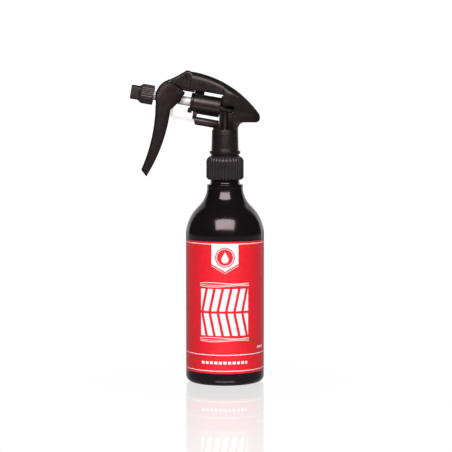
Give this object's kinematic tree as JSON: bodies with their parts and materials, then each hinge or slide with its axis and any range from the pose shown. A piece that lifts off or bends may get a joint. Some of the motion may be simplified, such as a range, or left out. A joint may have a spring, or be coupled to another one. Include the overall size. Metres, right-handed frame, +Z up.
{
  "type": "trigger spray bottle",
  "caption": "Round spray bottle with a wrap-round label, a screw collar and a trigger spray head whose nozzle tube moves back with the trigger.",
  "frame": {"origin": "centre of the bottle's foot, on the surface it stands on", "axes": "+Z up along the bottle's axis, -X the way the nozzle points, Y across the head"},
  "size_m": [0.1146, 0.067, 0.2667],
  "materials": {
    "bottle_plastic": "glossy blow-moulded",
    "label_film": "satin printed film",
    "head_plastic": "fine moulded texture",
    "nozzle_plastic": "moulded, slightly worn",
    "clear_plastic": "milky translucent",
    "white_plastic": "natural moulded",
    "seal_rubber": "matte",
    "steel": "bright"
  },
  "bodies": {
    "bottle": {"bottle": "bottle_plastic", "label": "label_film"},
    "head": {"pump_body": "head_plastic", "rear_plug": "head_plastic", "barrel_cap": "head_plastic", "barrel_wiper": "seal_rubber", "shroud": "head_plastic", "hinge_hood": "head_plastic", "hinge_pin": "head_plastic", "return_spring": "clear_plastic", "neck_plug": "white_plastic", "neck_gasket": "white_plastic", "dip_tube": "clear_plastic", "dip_filter": "white_plastic"},
    "collar": {"collar": "head_plastic"},
    "trigger": {"trigger": "head_plastic"},
    "piston": {"piston_tube": "clear_plastic", "piston_seal": "white_plastic", "nozzle_carrier": "white_plastic", "nozzle_seal": "seal_rubber", "outlet_spring": "steel", "spinner": "white_plastic"},
    "outlet_valve": {"outlet_valve": "white_plastic"},
    "nozzle": {"nozzle_cap": "nozzle_plastic"},
    "inlet_ball": {"inlet_ball": "steel"}
  },
  "joints": [
    {"name": "head_lift", "type": "slide", "parent": "bottle", "child": "head", "axis": [0, 0, 1], "range_m": [0, 0.00634]},
    {"name": "collar_turn", "type": "hinge", "parent": "head", "child": "collar", "pos_m": [0, 0, 0.183], "axis": [0, 0, 1], "range_deg": [0, 540]},
    {"name": "trigger_pull", "type": "hinge", "parent": "head", "child": "trigger", "pos_m": [-0.03131, 0, 0.26103], "axis": [0, -1, 0], "range_deg": [0, 21.5], "stiffness_Nm_per_rad": 0.5, "springref_deg": -14.32, "deforming": ["return_spring"]},
    {"name": "piston_slide", "type": "slide", "parent": "head", "child": "piston", "axis": [0.9854, 0, -0.1702], "range_m": [0, 0.0079]},
    {"name": "nozzle_turn", "type": "hinge", "parent": "piston", "child": "nozzle", "pos_m": [0, 0, 0.23492], "axis": [-0.9854, 0, 0.1702], "continuous": true},
    {"name": "outlet_lift", "type": "slide", "parent": "piston", "child": "outlet_valve", "axis": [-0.9854, 0, 0.1702], "range_m": [0, 0.00055], "stiffness_N_per_m": 120, "springref_m": -0.0004, "deforming": ["outlet_spring"]},
    {"name": "inlet_lift", "type": "slide", "parent": "head", "child": "inlet_ball", "axis": [0, 0, 1], "range_m": [0, 0.0012]}
  ],
  "couplings": [
    {"joint": "collar_turn", "follows": "head_lift", "rad_per_m": 1484.3},
    {"joint": "piston_slide", "follows": "trigger_pull", "m_per_rad": 0.02096}
  ]
}
